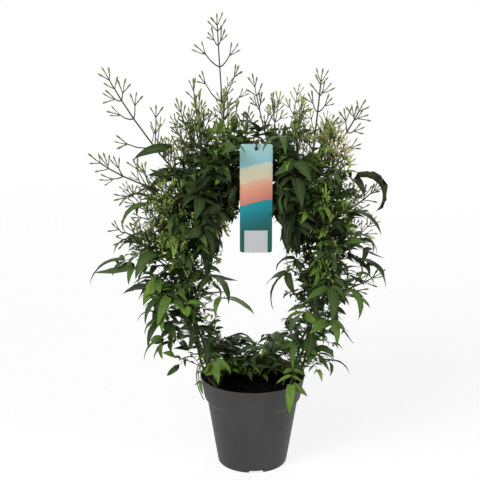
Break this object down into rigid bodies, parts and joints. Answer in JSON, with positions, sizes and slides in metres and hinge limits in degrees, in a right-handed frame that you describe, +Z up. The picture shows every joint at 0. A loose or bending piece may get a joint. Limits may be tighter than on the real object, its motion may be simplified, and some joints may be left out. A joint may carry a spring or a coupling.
{
  "type": "potted jasmine on a hoop",
  "caption": "Climbing jasmine in bud, wound round an arched hoop in a tapered nursery pot, with a hang tag.",
  "frame": {"origin": "middle of the flat pad under the pot, on the surface that it stands on", "axes": "+Z up, +X to the right with the tag in front, +Y to the back, square to the hoop's plane"},
  "size_m": [0.3926, 0.1815, 0.6089],
  "materials": {
    "pot_plastic": "satin moulded grey",
    "peat": "loose dark peat",
    "hoop_wire": "satin",
    "tag_print": "printed bands",
    "tie_cord": "matt",
    "stem_bark": "thin green-brown bark",
    "leaf": "satin, waxy",
    "bud": "matt"
  },
  "bodies": {
    "root": {"pot": "pot_plastic", "peat": "peat", "hoop": "hoop_wire", "hang_tag": "tag_print", "tag_tie": "tie_cord", "climber_left_1": "stem_bark", "climber_left_2": "stem_bark", "climber_left_3": "stem_bark", "climber_right_1": "stem_bark", "climber_right_2": "stem_bark", "climber_right_3": "stem_bark", "runner_high": "stem_bark", "runner_low": "stem_bark", "shoot_left_01": "leaf", "shoot_left_02": "leaf", "shoot_left_03": "leaf", "shoot_left_04": "leaf", "shoot_left_05": "leaf", "shoot_left_06": "leaf", "shoot_left_07": "leaf", "shoot_left_08": "leaf", "shoot_left_09": "leaf", "shoot_left_10": "leaf", "shoot_left_11": "leaf", "shoot_left_12": "leaf", "shoot_left_13": "leaf", "shoot_left_14": "leaf", "shoot_right_01": "leaf", "shoot_right_02": "leaf", "shoot_right_03": "leaf", "shoot_right_04": "leaf", "shoot_right_05": "leaf", "shoot_right_06": "leaf", "shoot_right_07": "leaf", "shoot_right_08": "leaf", "shoot_right_09": "leaf", "shoot_right_10": "leaf", "shoot_right_11": "leaf", "shoot_right_12": "leaf", "shoot_right_13": "leaf", "shoot_top_01": "leaf", "shoot_top_02": "leaf", "shoot_top_03": "leaf", "panicle_spire": "bud", "panicle_left_high": "bud", "panicle_left_wing": "bud", "panicle_left_back": "bud", "panicle_left_crown": "bud", "panicle_left_low": "bud", "panicle_middle_back": "bud", "panicle_right_slant": "bud", "panicle_right_tall": "bud", "panicle_right_crown": "bud", "panicle_right_fan": "bud", "panicle_right_back": "bud", "panicle_right_wing": "bud", "panicle_right_low": "bud"}
  },
  "joints": []
}
